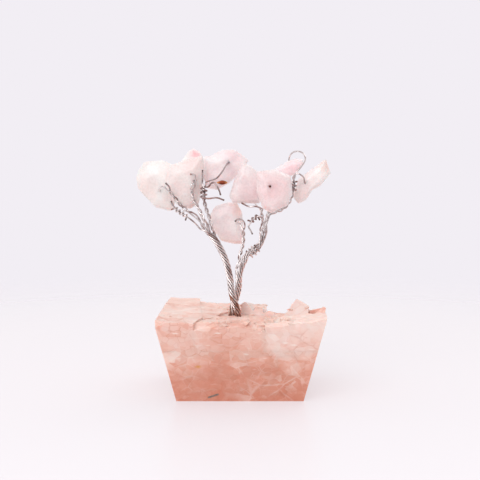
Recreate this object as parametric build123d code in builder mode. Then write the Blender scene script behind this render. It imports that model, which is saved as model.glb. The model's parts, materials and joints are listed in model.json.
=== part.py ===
import math
import os
from bisect import bisect_right

from build123d import *

os.makedirs("parts", exist_ok=True)

# Cast base: crushed rose quartz in clear resin, in a mould that is wider at the top
bottom_width = 34.4
bottom_depth = 34.4
top_width = 45.5
top_depth = 45.5
rim_height = 22.0
mould_height = 28.0
fill_height = 20.5
hollow_start = 0.34
hollow_drop = 2.8

# Chips that lie in the cast walls
wall_chip_depth = 3.2
wall_chip_inner = 0.7
wall_chip_low = 0.9
wall_chip_edge = 4.0
chunk_root = 6.2
chunk_gap = 0.7
offcut_length = 3.0
offcut_thickness = 0.5
offcut_slant = 20.0

# Craft wire, and the way that eight wires lie in each branch: seven round one
wire_diameter = 0.45
strand_gap = 0.125
branch_gap = 0.34
ring_count = 7
branch_lay = 10.0
twig_lay = 3.6
lift_height = 0.62
lift_length = 2.6
trunk_x = -1.5
foot_rise = 0.5
trunk_height = 9.2
trunk_turn = 0.4
lay_ramp = 2.36
root_depth = 10.3
root_clearance = 0.12

# Drilled stones of the crown
bore_clearance = 0.08
wire_end_proud = 0.5
blind_end_gap = 0.5

# Binding coils
coil_pitch = 1.15
coil_tail = 1.2
coil_clearance = 0.06

# Flake of copper: where it starts, and the half height and half width of its sections along it
flake_start = (-4.95, -0.2, 37.1)
flake_sections = [
    (0, 0.18, 0.15), (0.7, 0.42, 0.25), (1.5, 0.62, 0.3), (2.3, 0.45, 0.25), (2.9, 0.2, 0.15),
]

# Steps of the wires' lines: along a route, up the trunk, for a direction, along a free wire
# and round a branch
route_steps = 40
trunk_steps = 6
tangent_step = 0.02
free_step = 1.2
leaving_steps = 120
straight_angle = 0.006

wall_chip_high = fill_height - chunk_root - chunk_gap
wire_radius = wire_diameter / 2
bore_radius = wire_radius + bore_clearance
foot = Vector(trunk_x, 0, fill_height + foot_rise)


def helix_radius(half_spacing, lay):
    """Radius at which strands of a given half spacing just clear each other on a twist."""
    return half_spacing / math.sqrt(1 - (2 * math.pi * half_spacing / lay) ** 2)


ring_half_spacing = (wire_diameter + strand_gap) / (2 * math.sin(math.pi / ring_count))
ring_radius = helix_radius(ring_half_spacing, branch_lay)
branch_radius = ring_radius + wire_radius
trunk_offset = helix_radius(branch_radius + branch_gap / 2, trunk_height / trunk_turn)
# The two branches come level with each other, left and right, where the trunk ends
foot_angle = math.pi - 2 * math.pi * trunk_turn
foot_x = trunk_offset * math.cos(foot_angle)
foot_y = -trunk_offset * math.sin(foot_angle)
pair_radius = helix_radius((wire_diameter + strand_gap) / 2, twig_lay)
twig_radius = pair_radius + wire_radius


def finish(piece, name):
    """Label a finished piece and write it out."""
    piece.part.label = name
    export_step(piece.part, f"parts/{name}.step")
    return piece.part


# Base

def half_width(height):
    return (bottom_width + (top_width - bottom_width) * height / rim_height) / 2


def half_depth(height):
    return (bottom_depth + (top_depth - bottom_depth) * height / rim_height) / 2


with BuildPart() as mould:
    for level in (0, mould_height):
        with BuildSketch(Plane.XY.offset(level)):
            Rectangle(2 * half_width(level), 2 * half_depth(level))
    loft()


pockets = []


def top_chunk(name, outline, facets):
    """Broken quartz at the top of the base, cast into the resin and flush with the walls.

    The outline is in shares of the half width and half depth at the rim. Each facet is a
    place in the same shares, its height above the resin, and its slope along X and Y. The
    pocket that it takes up in the resin has no resin over it.
    """
    across_x, across_y = half_width(rim_height), half_depth(rim_height)
    low = fill_height - chunk_root
    with BuildPart() as chunk:
        with BuildSketch(Plane.XY.offset(low)):
            with BuildLine():
                Polyline(*[(a * across_x, b * across_y) for a, b in outline], close=True)
            make_face()
        extrude(amount=mould_height - low)
        add(mould.part, mode=Mode.INTERSECT)
        pockets.append(chunk.part)
        for a, b, height, slope_x, slope_y in facets:
            point = (a * across_x, b * across_y, fill_height + height)
            split(bisect_by=Plane(origin=point, z_dir=(-slope_x, -slope_y, 1)), keep=Keep.BOTTOM)
    finish(chunk, name)


for name, outline, facets in [
    (
        "left_slab",
        [(-1.3, -1.3), (-0.62, -1.3), (-0.45, -0.55), (-0.5, 0.35), (-0.53, 1.3), (-0.9, 1.3),
         (-1.3, 0.1)],
        [(-0.7, 0, 1.8, -0.02, 0.0), (-0.95, -0.9, 1.7, 0.6, 0.35), (-0.91, 1.0, 1.8, 1.2, -0.06)],
    ),
    (
        "rear_chunk",
        [(-0.53, 1.3), (-0.5, 0.35), (-0.1, 0.3), (0.1, 0.55), (0.12, 1.3)],
        [(-0.3, 0.8, 0.5, -0.06, -0.02)],
    ),
    (
        "left_trunk_chip",
        [(-0.45, -0.55), (-0.3, -0.28), (-0.24, 0.0), (-0.1, 0.3), (-0.5, 0.35)],
        [(-0.45, 0.0, 1.5, -0.16, 0.02)],
    ),
    (
        "front_chunk",
        [(-0.62, -1.3), (0.3, -1.3), (0.28, -0.62), (0.1, -0.3), (-0.3, -0.28), (-0.45, -0.55)],
        [(-0.2, -0.95, 1.6, 0.0, -0.05), (-0.5, -0.9, 1.5, 0.22, -0.1), (-0.1, -0.95, 1.3, 0.1, 0.55),
         (0.15, -0.8, 1.3, -0.25, 0.3)],
    ),
    (
        "front_right_chunk",
        [(0.3, -1.3), (1.3, -1.3), (1.3, -0.75), (0.8, -0.6), (0.28, -0.62)],
        [(0.3, -1.0, 1.4, 0.1, 0.03), (1.0, -1.0, 3.0, -0.3, 0.1), (0.5, -0.97, 1.4, 0.16, 0.6),
         (0.38, -0.75, 1.5, 0.3, -0.1)],
    ),
    (
        "right_corner_chip",
        [(0.8, -0.6), (1.3, -0.75), (1.3, -0.1), (0.85, -0.2)],
        [(1.0, -0.5, 4.5, 0.9, -0.3), (1.0, -0.5, 4.5, -0.8, -0.35), (1.0, -0.5, 4.5, 0.3, 0.9)],
    ),
    (
        "right_peak_chip",
        [(0.5, -0.45), (0.8, -0.6), (0.85, -0.2), (0.7, 0.1), (0.5, -0.05)],
        [(0.69, -0.22, 5.8, 1.6, -0.4), (0.69, -0.22, 5.8, -0.9, -0.45),
         (0.69, -0.22, 5.8, 0.2, 0.8)],
    ),
    (
        "right_side_chunk",
        [(0.85, -0.2), (1.3, -0.1), (1.3, 0.45), (0.8, 0.5), (0.7, 0.1)],
        [(0.9, 0.0, 1.6, 0.1, -0.22)],
    ),
    (
        "trunk_rear_chip",
        [(0.02, 0.14), (0.16, 0.1), (0.19, 0.3), (0.1, 0.5), (0.0, 0.42)],
        [(0.08, 0.2, 3.2, 0.5, -0.35), (0.08, 0.2, 3.2, -0.3, -0.1), (0.13, 0.25, 2.9, -1.2, 0.3)],
    ),
    (
        "rear_bump_chip",
        [(0.16, 0.1), (0.28, 0.06), (0.33, 0.26), (0.19, 0.3)],
        [(0.24, 0.15, 2.2, 0.6, -0.2), (0.24, 0.15, 2.2, -0.45, -0.1)],
    ),
    (
        "low_chip",
        [(0.28, 0.06), (0.42, -0.04), (0.46, 0.16), (0.33, 0.26)],
        [(0.36, 0.1, 1.2, 0.4, -0.15), (0.36, 0.1, 1.2, -0.3, -0.15)],
    ),
]:
    top_chunk(name, outline, facets)

# Chip outlines in a wall: shares of the half width there, and of the height of their zone
wall_chips = [
    [(-0.95, 0.95), (-0.45, 0.97), (-0.4, 0.62), (-0.75, 0.5), (-0.97, 0.6)],
    [(-0.97, 0.5), (-0.72, 0.42), (-0.38, 0.52), (-0.42, 0.22), (-0.9, 0.12)],
    [(-0.34, 0.9), (0.02, 0.96), (0.1, 0.6), (-0.12, 0.5), (-0.34, 0.6)],
    [(-0.34, 0.5), (-0.1, 0.42), (0.08, 0.1), (-0.28, 0.22)],
    [(0.08, 0.96), (0.5, 0.98), (0.55, 0.66), (0.17, 0.58)],
    [(0.15, 0.5), (0.56, 0.58), (0.4, 0.2), (0.14, 0.1)],
    [(0.6, 0.95), (0.95, 0.97), (0.97, 0.5), (0.64, 0.55)],
    [(0.62, 0.47), (0.96, 0.42), (0.9, 0.08), (0.48, 0.1)],
]

slope_x = (top_width - bottom_width) / 2 / rim_height
slope_y = (top_depth - bottom_depth) / 2 / rim_height


def wall_plane(side):
    """Plane of a cast wall, its origin at the foot of the wall and its normal inwards."""
    planes = {
        "front": ((0, -bottom_depth / 2, 0), (-1, 0, 0), (0, 1, slope_y)),
        "rear": ((0, bottom_depth / 2, 0), (1, 0, 0), (0, -1, slope_y)),
        "left": ((-bottom_width / 2, 0, 0), (0, 1, 0), (1, 0, slope_x)),
        "right": ((bottom_width / 2, 0, 0), (0, -1, 0), (-1, 0, slope_x)),
    }
    origin, along, inwards = planes[side]
    return Plane(origin=origin, x_dir=along, z_dir=inwards)


def wall_spot(side, share, height):
    """Sketch point on a wall, from a share of the half width there and a height."""
    sideways = half_width if side in ("front", "rear") else half_depth
    slope = slope_y if side in ("front", "rear") else slope_x
    return share * (sideways(height) - wall_chip_edge), height * math.hypot(1, slope)


def wall_group(side, flip, turn_over):
    """Chips that lie in one cast wall, flush with it, as separate solids."""
    zone = wall_chip_high - wall_chip_low
    with BuildPart() as group:
        for outline in wall_chips:
            spots = []
            for share, level in outline:
                rise = 1 - level if turn_over else level
                spots.append(wall_spot(side, -share if flip else share, wall_chip_low + rise * zone))
            middle_x = sum(x for x, y in spots) / len(spots)
            middle_y = sum(y for x, y in spots) / len(spots)
            for depth, share in ((0, 1), (wall_chip_depth, wall_chip_inner)):
                with BuildSketch(wall_plane(side).offset(depth)):
                    with BuildLine():
                        Polyline(
                            *[(middle_x + share * (x - middle_x), middle_y + share * (y - middle_y))
                              for x, y in spots],
                            close=True,
                        )
                    make_face()
            loft(ruled=True)
    return finish(group, f"{side}_wall_chips")


wall_groups = [
    wall_group("front", True, False),
    wall_group("rear", False, False),
    wall_group("left", False, True),
    wall_group("right", True, True),
]

# Offcut of wire that was cast into the front wall by accident
with BuildPart() as offcut:
    offcut_centre = wall_spot("front", 0.53, 1.55)
    with BuildSketch(wall_plane("front")):
        with Locations(Location((offcut_centre[0], offcut_centre[1]), -offcut_slant)):
            Rectangle(offcut_length, offcut_thickness)
    extrude(amount=offcut_thickness)
wire_offcut = finish(offcut, "wire_offcut")

# Resin, poured round the chunks, the chips and the wire roots
with BuildPart() as resin:
    add(mould.part)
    split(bisect_by=Plane.XY.offset(fill_height), keep=Keep.BOTTOM)
    hollow_x = hollow_start * half_width(rim_height)
    with BuildSketch(Plane.YZ.offset(hollow_x)):
        with BuildLine():
            Polyline(
                (0, fill_height),
                (top_depth, fill_height),
                (top_depth, fill_height - hollow_drop * top_depth / half_depth(rim_height)),
                close=True,
            )
        make_face()
    extrude(amount=top_width, mode=Mode.SUBTRACT)
    for solid in pockets + wall_groups + [wire_offcut]:
        add(solid, mode=Mode.SUBTRACT)
    with BuildSketch(Plane.XY.offset(fill_height)):
        with Locations((trunk_x - foot_x, -foot_y), (trunk_x + foot_x, foot_y)):
            Circle(branch_radius + root_clearance)
    extrude(amount=-root_depth, mode=Mode.SUBTRACT)
finish(resin, "resin_block")


# Stones

# Share of the outline, and place through the thickness from the front, of each section of a stone
stone_sections = [(0.5, 0.0), (0.84, 0.16), (1.0, 0.45), (0.94, 0.72), (0.55, 1.0)]


class Stone:
    """A drilled, tumbled chip, lying flat in its own plane, that turns on the wire through it."""

    def __init__(self, name, centre, thickness, turn, nod, bore, outline, blind=False):
        self.name = name
        self.thickness = thickness
        # How far past the middle the wire reaches: out of the far side, or only to the middle
        self.wire_reach = 0.0 if blind else thickness / 2 + wire_end_proud
        facing = Vector(0, -1, 0).rotate(Axis.X, nod).rotate(Axis.Z, turn)
        along = Vector(1, 0, 0).rotate(Axis.Z, turn)
        self.plane = Plane(origin=foot + Vector(*centre), x_dir=along, z_dir=facing)
        self.bore = bore
        with BuildPart() as chip:
            for share, place in stone_sections:
                with BuildSketch(self.plane.offset(thickness * (0.5 - place))):
                    with BuildLine():
                        Polyline(*[(share * x, share * z) for x, z in outline], close=True)
                    make_face()
            loft(ruled=True)
            with BuildSketch(self.plane.offset(blind_end_gap if blind else thickness)):
                with Locations(bore):
                    Circle(bore_radius)
            extrude(amount=-2 * thickness, mode=Mode.SUBTRACT)
        finish(chip, name)

    def on_bore(self, beyond):
        """Point on the line of the bore, so far in front of the middle of the stone."""
        return self.plane.from_local_coords(Vector(*self.bore, beyond))


stones = {
    stone.name: stone
    for stone in [
        Stone(
            "far_left_stone", (-22, 8.2, 35.5), 5.0, -4, 3, (0.9, -0.9),
            [(-6, 2), (-5.5, 4.5), (-3.5, 7), (1.5, 7.5), (5, 6), (5.5, -0.5), (4.5, -6.5), (3.5, -7),
             (-0.5, -6), (-3, -3.5), (-5.5, -0.5)],
        ),
        Stone(
            "upper_left_stone", (-12.5, 13.4, 41), 4.0, 6, -4, (0, -0.5),
            [(-3.5, 0.5), (-1, 4), (0.5, 5), (2.5, 4), (3.5, 2), (3.5, -3), (0.5, -5), (-3, -3.5)],
        ),
        Stone(
            "inner_left_stone", (-14, 3.2, 37), 4.0, 0, 2, (2.6, 0.4),
            [(-4.5, 3.5), (-3.5, 5), (1.5, 6.5), (5, 7.5), (5.5, 5), (5, -1), (4, -6), (1.5, -7.5),
             (-2, -6.5), (-4.5, -3.5), (-5.5, 0)],
        ),
        Stone(
            "top_stone", (-3, 8.2, 40.5), 4.4, 2, 2, (1.2, 1.9),
            [(-6, 3.5), (-4.5, 3.5), (-0.5, 5.5), (3, 5.5), (7, 2.5), (5, -0.5), (1.5, -4),
             (-2, -6), (-5, -5.5), (-6.5, -1)],
        ),
        Stone(
            "middle_stone", (3, 2.9, 36.5), 4.0, 0, 2, (0, 0.2),
            [(-1, 6), (1.5, 5), (3, 3.5), (4.5, -0.5), (4, -5.5), (-3.5, -5.5), (-4.5, -3.5),
             (-3, 1.5)],
            blind=True,
        ),
        Stone(
            "front_right_stone", (11, -4.8, 34.5), 4.4, 8, -5, (-1.6, 1.8),
            [(-5, 6), (0, 6.5), (4.5, 4.5), (5, 0), (3.5, -3.5), (-1, -5.5), (-3.5, -4), (-5, 0.5)],
        ),
        Stone(
            "upper_right_stone", (15.5, 8.8, 40.5), 3.6, -6, 4, (-0.2, 0.4),
            [(-4.5, -0.5), (-0.5, 2), (2, 3), (4, 2.5), (4, 1), (2, -1.5), (-2, -3)],
            blind=True,
        ),
        Stone(
            "far_right_stone", (21.5, 3.4, 37), 4.2, -3, 3, (-1.8, 0),
            [(-5, -3), (-3.5, 1), (0.5, 4), (4, 6.5), (5.5, 2.5), (2.5, -1), (0.5, -2), (-1.5, -5),
             (-3.5, -6), (-5, -4.5)],
        ),
        Stone(
            "centre_stone", (-2.5, 7.9, 25), 4.4, 5, 4, (3, 0.6),
            [(-5, 2), (-3, 5), (0, 6), (3, 6), (4.5, 3), (5, -2.5), (5.5, -6), (2.5, -6), (-1.5, -5),
             (-3, -3), (-5, 0)],
        ),
    ]
}


# Wires

def ease(share):
    """Smooth step from 0 to 1."""
    share = min(max(share, 0.0), 1.0)
    return share * share * (3 - 2 * share)


class Route:
    """Smooth line through points, read by the distance along it."""

    def __init__(self, points, start=None):
        chords = [b - a for a, b in zip(points, points[1:])]
        slopes = [start or chords[0].normalized()]
        for before, after in zip(chords, chords[1:]):
            mix = before.normalized() * after.length + after.normalized() * before.length
            slopes.append(mix * (1 / (before.length + after.length)))
        slopes.append(chords[-1].normalized())
        self.places = [points[0]]
        for here, chord, out, into in zip(points, chords, slopes, slopes[1:]):
            for step in range(1, route_steps + 1):
                t = step / route_steps
                bend = out * ((1 - t) * (1 - t)) - into * (t * (1 - t))
                self.places.append(here + chord * ease(t) + bend * (t * chord.length))
        self.travel = [0.0]
        for a, b in zip(self.places, self.places[1:]):
            self.travel.append(self.travel[-1] + (b - a).length)
        self.length = self.travel[-1]

    def point(self, distance):
        distance = min(max(distance, 0.0), self.length)
        i = min(bisect_right(self.travel, distance), len(self.travel) - 1)
        share = (distance - self.travel[i - 1]) / (self.travel[i] - self.travel[i - 1])
        return self.places[i - 1] + (self.places[i] - self.places[i - 1]) * share

    def tangent(self, distance):
        distance = min(max(distance, tangent_step), self.length - tangent_step)
        ahead = self.point(distance + tangent_step)
        return (ahead - self.point(distance - tangent_step)).normalized()


def across(tangent, angle):
    """Direction square to a line, turned by an angle about it."""
    side = (Vector(0, 1, 0) - tangent * tangent.Y).normalized()
    return side * math.cos(angle) + tangent.cross(side) * math.sin(angle)


def place(*point):
    """Point of the tree, measured from the foot of the trunk."""
    return foot + Vector(*point)


def branch(side, points):
    """Axis of a branch: a straight root, its turn in the trunk, then the open branch."""
    trunk = []
    for step in range(trunk_steps + 1):
        share = step / trunk_steps
        turn = foot_angle + 2 * math.pi * trunk_turn * share
        trunk.append(
            place(
                side * trunk_offset * math.cos(turn),
                -side * trunk_offset * math.sin(turn),
                trunk_height * share,
            )
        )
    root = place(side * foot_x, side * foot_y, -foot_rise - root_depth + wire_radius)
    under = place(side * foot_x, side * foot_y, -foot_rise - wire_diameter)
    return Route([root, under] + trunk + [place(*p) for p in points])


root_length = root_depth - wire_radius - wire_diameter

left_branch = branch(
    1,
    [(-1.6, 0, 11.6), (-2.9, 0, 16.2), (-4.6, 0, 19.6), (-7.3, 0, 23.4), (-10.4, 0, 26.8),
     (-12.6, 0, 28.6)],
)
right_branch = branch(
    -1,
    [(1.3, 0, 11.4), (2.1, 0, 14), (3.4, 0, 16.4), (5.4, 0, 18), (7, 0, 19.9), (8, 0, 22.4),
     (9, 0, 25.6), (9.6, 0, 27.6)],
)


def lay_angle(distance):
    """Angle that the strands have turned about their branch, left-handed, easing in at the foot."""
    run = max(distance - root_length, 0.0)
    turned = run * run / (2 * lay_ramp) if run < lay_ramp else run - lay_ramp / 2
    return -2 * math.pi * turned / branch_lay


CENTRE = None


def lane_angle(lane, distance):
    return 2 * math.pi * lane / ring_count + lay_angle(distance)


def strand_point(axis, lane, distance, leaving, lift):
    """Place of one strand of a branch: on the axis, or in its lane, and lifted before it leaves."""
    if lane is CENTRE:
        return axis.point(distance)
    reach = ring_radius + lift * ease((distance - leaving + lift_length) / lift_length)
    return axis.point(distance) + across(axis.tangent(distance), lane_angle(lane, distance)) * reach


def leaving_place(axis, lanes, near, facing):
    """Distance, next to a given one, at which the lanes of a branch face the way that a twig goes."""
    lane = sum(lanes) / len(lanes)

    def miss(distance):
        tangent = axis.tangent(distance)
        towards = math.atan2(facing.dot(across(tangent, math.pi / 2)), facing.dot(across(tangent, 0)))
        return abs(math.remainder(lane_angle(lane, distance) - towards, 2 * math.pi))

    steps = [near + branch_lay * (step / leaving_steps - 0.5) for step in range(leaving_steps + 1)]
    return min(steps, key=miss)


def knots_along(curve, start, stop, step):
    """Points and directions along a curve, from start to stop, at about the given step."""
    count = max(1, round((stop - start) / step))
    knots = []
    for i in range(count + 1):
        distance = start + (stop - start) * i / count
        ahead = curve(distance + tangent_step)
        knots.append((curve(distance), (ahead - curve(distance - tangent_step)).normalized()))
    return knots


def biarc(knot, next_knot):
    """Two tangent arcs from one point and direction to the next, or a line where they are in line."""
    (start, out), (stop, into) = knot, next_knot
    span = stop - start
    ahead = span.dot(out + into)
    square = span.dot(span)
    reach = square / (ahead + math.sqrt(ahead * ahead + 2 * (1 - out.dot(into)) * square))
    middle = (start + out * reach + stop - into * reach) * 0.5
    across_middle = stop - into * reach - start - out * reach
    if max(out.get_angle(span), into.get_angle(span)) < straight_angle:
        Line(start, stop)
    else:
        TangentArc(start, middle, tangent=out)
        TangentArc(middle, stop, tangent=across_middle)


def tube(name, knots):
    """One unbroken wire along a chain of biarcs."""
    with BuildPart() as wire:
        with BuildLine():
            for knot, next_knot in zip(knots, knots[1:]):
                biarc(knot, next_knot)
        with BuildSketch(Plane(origin=knots[0][0], z_dir=knots[0][1])):
            Circle(wire_radius)
        sweep()
    finish(wire, name)


def free_end(knots, points, stone=None, side=1):
    """Single wire from the end of a twig, through free points, and into a stone where it has one.

    Side is 1 where the wire goes into the stone from the front, and -1 from the rear.
    """
    start, out = knots[-1]
    spots = [start] + [place(*p) for p in points]
    if stone:
        half = stones[stone].thickness / 2
        entry = stones[stone].on_bore(side * (half + wire_diameter))
        spots.append(entry)
    run = Route(spots, out)
    knots = knots + knots_along(run.point, 0, run.length, free_step)[1:-1]
    if stone:
        end = stones[stone].on_bore(-side * stones[stone].wire_reach)
        inwards = (end - entry).normalized()
        return knots + [(entry, inwards), (end, inwards)]
    return knots + [(run.point(run.length), run.tangent(run.length))]


wires = {}


def twig(axis, near, facing, points, members):
    """Wires that leave a branch together, wound round each other along a twig if there are two.

    They leave at the end of the branch, or near a given distance along it, where their lanes
    face the way that the twig goes. Each member is its name, its lane and its free end.
    """
    if near is None:
        leaving = axis.length
        lift = 0.0
    else:
        leaving = leaving_place(axis, [lane for name, lane, end in members], near, Vector(*facing))
        lift = lift_height
    run = Route([place(*p) for p in points])
    first = strand_point(axis, members[0][1], leaving, leaving, lift)
    last = strand_point(axis, members[-1][1], leaving, leaving, lift)
    tangent = run.tangent(0)
    apart = first - last
    phase = math.atan2(apart.dot(across(tangent, math.pi / 2)), apart.dot(across(tangent, 0)))
    for i, (name, lane, end) in enumerate(members):
        radius = pair_radius if len(members) > 1 else 0.0
        step = twig_lay / 4 if radius else free_step

        def in_branch(distance):
            return strand_point(axis, lane, distance, leaving, lift)

        def in_twig(distance):
            angle = phase + math.pi * i - 2 * math.pi * distance / twig_lay
            return run.point(distance) + across(run.tangent(distance), angle) * radius

        knots = knots_along(in_branch, 0, root_length, root_length)
        knots += knots_along(in_branch, root_length, leaving - lift_length, branch_lay / 4)[1:]
        knots += knots_along(in_branch, leaving - lift_length, leaving, lift_length / 3)[1:]
        knots += knots_along(in_twig, 0, run.length, step)
        wires[name] = free_end(knots, *end)
    return run


far_left_twig = twig(
    left_branch, None, None, [(-14.4, 0, 30.2), (-16.2, 0, 32.2), (-18, 0, 34.6)],
    [
        ("far_left_wire", CENTRE, ([(-19.8, -0.6, 36), (-20.9, 1, 35.6)], "far_left_stone")),
        ("far_left_curl_wire", 6, ([(-18.4, -0.7, 36.2), (-19.2, -0.9, 37)],)),
    ],
)
left_side_twig = twig(
    left_branch, 38.3, (-0.7, 0, -0.7),
    [(-12.4, -0.3, 26.9), (-14.2, -0.5, 28.2), (-15.8, -0.5, 29.2), (-17.2, -0.5, 30.8)],
    [("left_side_wire", 0, ([(-17.7, -0.5, 32)],))],
)
slanting_twig = twig(
    left_branch, 38.4, (0.3, -0.1, 1),
    [(-9.3, -0.1, 28.4), (-10.4, 0, 30.4), (-11.6, 0, 32.8), (-11.9, 0, 35)],
    [
        ("inner_left_wire", 3, ([(-11.9, -0.9, 36.6)], "inner_left_stone")),
        ("inner_left_hook_wire", 4, (
            [(-10.8, -0.2, 37.8), (-11.3, -0.2, 39.3), (-12.4, -0.2, 39.4)],
        )),
    ],
)
upright_twig = twig(
    left_branch, 35.4, (0.7, 0, 0.7),
    [(-6.85, 0, 26.8), (-7.9, 0, 29.6), (-8.6, 0, 33), (-8.5, 0, 36)],
    [
        ("top_wire", 1, (
            [(-7.9, -0.4, 37.2), (-6.7, -0.4, 37.7), (-5.2, 0, 38.2), (-3.5, 1.3, 40), (-2.2, 3.6, 42)],
            "top_stone",
        )),
        ("upright_tip_wire", 2, ([(-8.9, 0, 38.4), (-8.9, -0.1, 40.6)],)),
    ],
)
rear_twig = twig(
    left_branch, 37.9, (0, 1, 0), [(-9.2, 2.6, 27), (-10, 5.4, 28.2), (-11.4, 7.6, 32.6)],
    [("upper_left_wire", 5, ([(-12.2, 8.6, 36.4), (-12.5, 9.6, 39.6)], "upper_left_stone"))],
)
upper_right_twig = twig(
    right_branch, None, None,
    [(11, 0, 28.8), (13.2, 0, 29.6), (15.2, 0, 31.6), (16.2, 0, 34.4), (16.4, 0, 38)],
    [
        ("far_right_wire", CENTRE, ([(17.3, -0.8, 39.7), (19, -0.8, 38.8)], "far_right_stone")),
        ("upper_right_wire", 2, (
            [(17, 0.2, 39.6), (18.4, 0.8, 41.2), (19.8, 2.6, 43.4), (19, 6, 45.2), (16.8, 9.6, 45.2),
             (15.7, 12.2, 43.6), (15.5, 12.8, 42)],
            "upper_right_stone", -1,
        )),
    ],
)
centre_twig = twig(
    right_branch, 24, (-0.6, 0.4, 0.6),
    [(1.5, 1.1, 16.8), (2.2, 1, 19.2), (2.5, 0.8, 21.6), (2.4, 0.6, 24)],
    [
        ("centre_wire", 4, ([(1.5, 1.2, 25.6), (0.8, 3.4, 26)], "centre_stone")),
        ("centre_curl_wire", 3, (
            [(2.8, 0.1, 25.6), (1.9, -0.4, 26.8), (0.8, -0.5, 26.9), (0.1, -0.4, 26.2)],
        )),
    ],
)
side_twig = twig(
    right_branch, 38.3, (-0.9, 0, 0.3),
    [(7.3, -0.4, 27.5), (6.4, -0.3, 27.6), (5.4, -0.2, 27), (4.6, -0.1, 26)],
    [("side_hook_wire", 0, ([(3.9, -0.1, 24.9), (4.5, -0.1, 23.6), (5, -0.1, 22.6)],))],
)
middle_twig = twig(
    right_branch, 37.1, (-0.5, 0.5, 0.7), [(7.7, 1.3, 27.2), (7.5, 0.9, 29.4)],
    [
        ("middle_wire", 5, (
            [(6.6, 3.4, 30), (5.6, 6, 31), (4.2, 7.4, 33.4), (3.2, 7.6, 36)], "middle_stone", -1,
        )),
        ("middle_arc_wire", 6, ([(6, 0, 30.4), (4, -0.1, 30.4), (1.9, -0.2, 31.4)],)),
    ],
)
front_twig = twig(
    right_branch, 37.6, (0.1, -0.6, 0.8), [(9.2, -1.3, 28.4), (9.5, -1, 32)],
    [("front_right_wire", 1, ([(9.5, -0.9, 35)], "front_right_stone", -1))],
)


# Binding coils

def least_self_gap(points):
    """Least clear space between parts of one tube that aren't next to each other along it."""
    apart = 4 * wire_diameter
    travel = [0.0]
    for a, b in zip(points, points[1:]):
        travel.append(travel[-1] + (b - a).length)
    gaps = []
    for i, a in enumerate(points):
        for far, b in zip(travel[i:], points[i:]):
            if far - travel[i] > apart:
                gaps.append((a - b).length)
    return min(gaps) - wire_diameter


def coil(name, run, start, turns, core_radius, phase, lower_tail, upper_tail):
    """Wire wound round a twig or branch, with its cut ends standing off."""
    radius = core_radius + coil_clearance + wire_radius

    def winding(distance):
        angle = phase - 2 * math.pi * (distance - start) / coil_pitch
        return run.point(distance) + across(run.tangent(distance), angle) * radius

    stop = start + turns * coil_pitch
    knots = knots_along(winding, start, stop, coil_pitch / 4)
    (first, out), (last, onward) = knots[0], knots[-1]
    lower = Route([first, first - out * coil_tail] + [place(*p) for p in lower_tail], out * -1)
    upper = Route([last, last + onward * coil_tail] + [place(*p) for p in upper_tail], onward)
    lead = knots_along(lower.point, 0, lower.length, free_step)
    tail = knots_along(upper.point, 0, upper.length, free_step)
    wires[name] = [(point, way * -1) for point, way in reversed(lead[1:])] + knots + tail[1:]
    points = [point for point, way in knots_along(winding, start, stop, tangent_step)]
    print(name, "least gap to itself", round(least_self_gap(points), 2), "mm")


coil("elbow_coil", right_branch, 28.8, 2.5, branch_radius, 0, [], [])
coil("left_side_coil", left_side_twig, 1.2, 3.5, wire_radius, 0, [], [])
coil("side_coil", side_twig, 0.9, 2, wire_radius, 0, [], [])
coil("knot_coil", upper_right_twig, upper_right_twig.length - 3.2, 2, twig_radius, 0, [], [])
coil(
    "upright_coil", upright_twig, 6.3, 2.5, twig_radius, math.pi,
    [(-4.9, -0.8, 32.9), (-2.9, -0.7, 32.2)],
    [(-6.4, 0.2, 36.9), (-5.6, -0.2, 37), (-5, -0.4, 36.2), (-4.3, -0.5, 34.9), (-3.9, -0.5, 33.6)],
)

# Hammered flake of bare copper, that sits on the bend of the upright twig's binding
with BuildPart() as flake:
    for along, half_height, half_width in flake_sections:
        centre = place(*flake_start) + Vector(along, 0, 0)
        with BuildSketch(Plane(origin=centre, x_dir=(0, -1, 0), z_dir=(1, 0, 0))):
            Ellipse(half_width, half_height)
    loft()
finish(flake, "copper_flake")

for name, knots in wires.items():
    tube(name, knots)
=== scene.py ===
import bmesh
import bpy
import json
import math
import random
from mathutils import Matrix, Vector, kdtree, noise
from mathutils.bvhtree import BVHTree


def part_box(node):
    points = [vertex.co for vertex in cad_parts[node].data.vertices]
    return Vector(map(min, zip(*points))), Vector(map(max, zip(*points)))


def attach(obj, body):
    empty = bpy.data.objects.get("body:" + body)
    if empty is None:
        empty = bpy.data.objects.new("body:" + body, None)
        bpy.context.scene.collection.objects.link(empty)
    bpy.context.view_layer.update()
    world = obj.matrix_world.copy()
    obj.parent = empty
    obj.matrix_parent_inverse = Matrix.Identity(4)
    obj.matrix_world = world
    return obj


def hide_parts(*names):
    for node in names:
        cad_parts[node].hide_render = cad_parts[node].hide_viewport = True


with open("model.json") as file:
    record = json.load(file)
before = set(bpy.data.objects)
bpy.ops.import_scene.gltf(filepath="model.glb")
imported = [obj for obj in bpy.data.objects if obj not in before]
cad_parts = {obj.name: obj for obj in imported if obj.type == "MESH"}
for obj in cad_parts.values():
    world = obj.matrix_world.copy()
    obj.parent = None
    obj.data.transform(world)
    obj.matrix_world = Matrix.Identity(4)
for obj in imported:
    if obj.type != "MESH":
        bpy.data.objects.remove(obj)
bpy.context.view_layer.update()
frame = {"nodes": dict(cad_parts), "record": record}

# Cast block
# Crushed rose quartz, poured with clear resin into a mould that flares to the top. The walls took the
# smooth face of the mould, so the broken chips show in them cut off flush.
MM = 0.001
quartz_ior = 1.54
middle_grey = (0.5, 0.5, 0.5)


def linear(colour):
    """Linear colour from an sRGB hex value."""
    parts = [int(colour[i:i + 2], 16) / 255 for i in (1, 3, 5)]
    return tuple(p / 12.92 if p <= 0.04045 else ((p + 0.055) / 1.055) ** 2.4 for p in parts) + (1.0,)


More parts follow.
